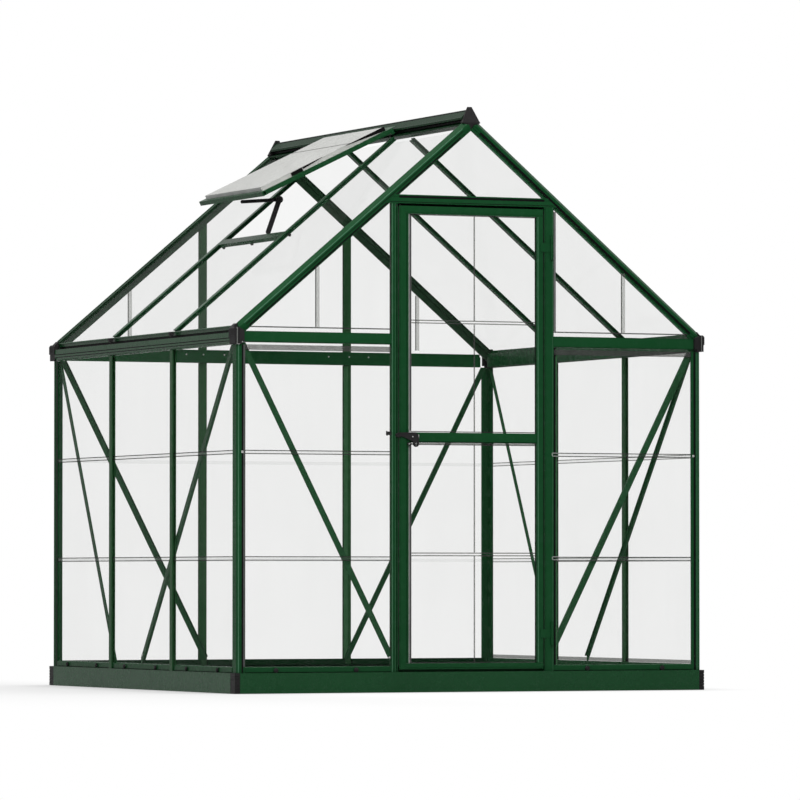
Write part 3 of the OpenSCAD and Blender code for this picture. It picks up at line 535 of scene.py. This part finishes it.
p.screw((-321, F + 9.5, 124), (0, -1, 0), 3.2)
p.screw((317, F + 2.5, 124), (0, -1, 0), 3.2)
# painted highlight: pale squares at the ends of the front joint strips beside the corner posts
for x, z in ((-893, 852), (887, 852)):
    p.bar((x - 4, F - 2.2, z - 4), (x + 4, F - 0.4, z + 4), 1.2)
p.done()
p = Piece("strip_loops", "rubber_pale", "clear_strip")
for z in (852.5, 478.5):
    for h in (-5.4, 5.4):
        p.bar((318, F - 1.0, z + h - 0.9), (342, F - 0.2, z + h + 0.9), 0.3)
    p.bar((316.2, F - 1.0, z - 4.6), (318.2, F - 0.2, z + 4.6), 0.3)
p.done()

# the feet of the roof rafters, down to the gutter's lip, in the darker shade green as painted shade
p = Piece("rafter_feet", "green_shade", "green_paint")
for sx in (-1, 1):
    for y in (-303, 303):
        p.slope(sx, 872, 903, y - 9, y + 9, -13, -0.7, 0.8)
p.done()

# the latch: pivot screw, rolled rings under it and a raised edge down its nose
p = Piece("latch_trim", "black_plastic", "black_plastic", "door")
L = F - 6.8
p.ring((-223.5, L, 886), (0, 1, 0), 8.4, 1.7)
p.ring((-250.5, L + 0.6, 885.5), (0, 1, 0), 5.6, 2.0)
p.along((-296, L, 921.5), (-228, L, 925), Y, -1.6, 0.5, Vector((0, 0, 1)), -1.4, 1.4, 0.5)
p.turn((-237.8, L, 911.6), (0, -1, 0), [(6.6, -0.4), (6.8, 0.5), (6.2, 1.3), (4.6, 1.5)], 32)
p.done()
p = Piece("latch_rivets", "rubber_pale", "black_plastic", "door")
p.turn((-237.8, L - 1.2, 911.6), (0, -1, 0), [(2.2, -0.3), (2.3, 0.3), (1.8, 0.9), (0.9, 1.1)], 20)
p.bar((-214.6, F - 6.9, 905), (-212.6, F - 6.4, 920), 0.3)
p.done()


# the roof vent: black strips painting the shade in the seam of the upper step and on its flanks, and a skirt painted
# pale as a painted reflection
def vent_at(x, y, s):
    """A point on the open vent: x along the ridge, y out of the vent, s down its slope."""
    a = math.radians(25.7)
    return Vector((-24 - math.cos(a) * s - math.sin(a) * y, -x, 2075 - math.sin(a) * s + math.cos(a) * y))


# painted shade: black strips in the seam of the upper step and down the vent's flanks
p = Piece("vent_shade_strips", "black_seal_and_shade", "black_plastic")


def vent_bar(piece, x0, x1, y0, y1, s0, s1, y2=None, y3=None):
    """A bar down the vent's slope whose far end may have another height."""
    y2, y3 = (y0 if y2 is None else y2), (y1 if y3 is None else y3)
    piece.skin([[vent_at(x, y, s) for x, y in ((x0, a), (x1, a), (x1, b), (x0, b))] for s, a, b in ((s0, y0, y1), (s1, y2, y3))])


vent_bar(p, -269, 269, 13.4, 14.7, 188.8, 191.4)
for sx in (-1, 1):
    x0, x1 = sorted((sx * 269.6, sx * 271.2))
    vent_bar(p, x0, x1, -2.6, 13.6, 36, 205, 12.6, 13.6)
    vent_bar(p, x0, x1, 12.6, 13.6, 312, 400, 4.5, 13.0)
    vent_bar(p, x0, x1, -2.4, 13.4, 402, 452, -2.4, 11.0)
p.done()
# painted reflection: the skirt's pale colour stands in for a glint along the vent's lower edge
p = Piece("vent_skirt", "rubber_pale", "clear_strip")
vent_bar(p, -268, 268, -1.0, 13.0, 580.9, 582.3)
p.done()


# ---- camera, floor, light --------------------------------------------------

cam = bpy.data.objects.new("cam", bpy.data.cameras.new("cam"))
scene.collection.objects.link(cam)
cam.location = (-8.760473, -19.908989, 0.411514)
cam.rotation_euler = (math.radians(91.737), 0, -math.radians(24.048))
cam.data.sensor_width = 36
cam.data.lens = 262.46
cam.data.clip_end = 200
scene.camera = cam

bm = bmesh.new()
bmesh.ops.create_grid(bm, x_segments=8, y_segments=8, size=90)
bmesh.ops.translate(bm, vec=(0, 0, -0.0005), verts=bm.verts)
me = bpy.data.meshes.new("floor")
bm.to_mesh(me)
bm.free()
floor = bpy.data.objects.new("floor", me)
scene.collection.objects.link(floor)
fm = Mat("floor")
fm.link(fm.ramp(fm.noise(0.8, 2), [(0.3, (0.50, 0.50, 0.50)), (0.7, (0.52, 0.52, 0.52))]), fm.p.inputs["Base Color"])
fm.set(Roughness=0.9, Specular_IOR_Level=0.1)
# a white stage that glows evenly for the camera, with a painted soft shadow where the object stands and down its left
# side
near = fm.node("ShaderNodeAmbientOcclusion", samples=6)
near.inputs["Distance"].default_value = 0.25
wide = fm.node("ShaderNodeAmbientOcclusion", samples=6)
wide.inputs["Distance"].default_value = 2.4
sep = fm.node("ShaderNodeSeparateXYZ")
fm.link(fm.co, sep.inputs[0])
left = fm.rng(sep.outputs[0], 0.0, 0.5, -0.6, -1.1)
shade = fm.math("ADD", fm.math("MULTIPLY", fm.math("SUBTRACT", 1.0, near.outputs["AO"]), 0.5), fm.math("MULTIPLY", fm.math("SUBTRACT", 1.0, wide.outputs["AO"]), left))
em = fm.node("ShaderNodeEmission")
fm.link(fm.math("SUBTRACT", 1.0, shade), em.inputs["Strength"])
ray = fm.node("ShaderNodeLightPath")
fx = fm.node("ShaderNodeMixShader")
fm.link(ray.outputs["Is Camera Ray"], fx.inputs[0])
fm.link(fm.p.outputs[0], fx.inputs[1])
fm.link(em.outputs[0], fx.inputs[2])
fm.link(fx.outputs[0], fm.out.inputs[0])
me.materials.append(fm.m)

world = bpy.data.worlds.new("studio")
scene.world = world
world.use_nodes = True
wt = world.node_tree
wt.nodes.clear()
wo = wt.nodes.new("ShaderNodeOutputWorld")
bg = wt.nodes.new("ShaderNodeBackground")
bg2 = wt.nodes.new("ShaderNodeBackground")
mx = wt.nodes.new("ShaderNodeMixShader")
lp = wt.nodes.new("ShaderNodeLightPath")
tc = wt.nodes.new("ShaderNodeTexCoord")
sx = wt.nodes.new("ShaderNodeSeparateXYZ")
wt.links.new(tc.outputs["Generated"], sx.inputs[0])


def wmap(sock, lo, hi, a, b):
    n = wt.nodes.new("ShaderNodeMapRange")
    n.interpolation_type = "SMOOTHSTEP"
    n.inputs["From Min"].default_value = lo
    n.inputs["From Max"].default_value = hi
    n.inputs["To Min"].default_value = a
    n.inputs["To Max"].default_value = b
    wt.links.new(sock, n.inputs["Value"])
    return n.outputs[0]


def wadd(a, b):
    n = wt.nodes.new("ShaderNodeMath")
    n.operation = "ADD"
    wt.links.new(a, n.inputs[0])
    wt.links.new(b, n.inputs[1])
    return n.outputs[0]


# a studio that is brightest behind the object and overhead, and dim behind the camera
env = wadd(wmap(sx.outputs[1], -0.3, 0.9, 0.06, 0.50), wmap(sx.outputs[2], 0.25, 0.95, 0.0, 0.55))
wt.links.new(env, bg.inputs["Strength"])
bg.inputs["Color"].default_value = (1, 1, 1, 1)
bg2.inputs["Color"].default_value = (1, 1, 1, 1)
bg2.inputs["Strength"].default_value = 1.0
wt.links.new(lp.outputs["Is Camera Ray"], mx.inputs[0])
wt.links.new(bg.outputs[0], mx.inputs[1])
wt.links.new(bg2.outputs[0], mx.inputs[2])
wt.links.new(mx.outputs[0], wo.inputs[0])


def softbox(name, loc, aim, size, power):
    d = bpy.data.lights.new(name, "AREA")
    d.shape = "RECTANGLE"
    d.size, d.size_y = size
    d.energy = power
    o = bpy.data.objects.new(name, d)
    scene.collection.objects.link(o)
    o.location = loc
    o.rotation_euler = (Vector(aim) - Vector(loc)).to_track_quat("-Z", "Y").to_euler()
    o.visible_camera = False
    return o


softbox("key", (-1.5, -6.2, 4.6), (0, -0.9, 0.9), (4.5, 2.6), 250)
softbox("side", (-8, -3.6, 1.6), (0, 0, 1.0), (1.2, 5), 90)
softbox("top", (0.5, 0.5, 8), (0, 0, 0), (5, 5), 260)

scene.view_settings.view_transform = "Standard"
scene.view_settings.look = "None"
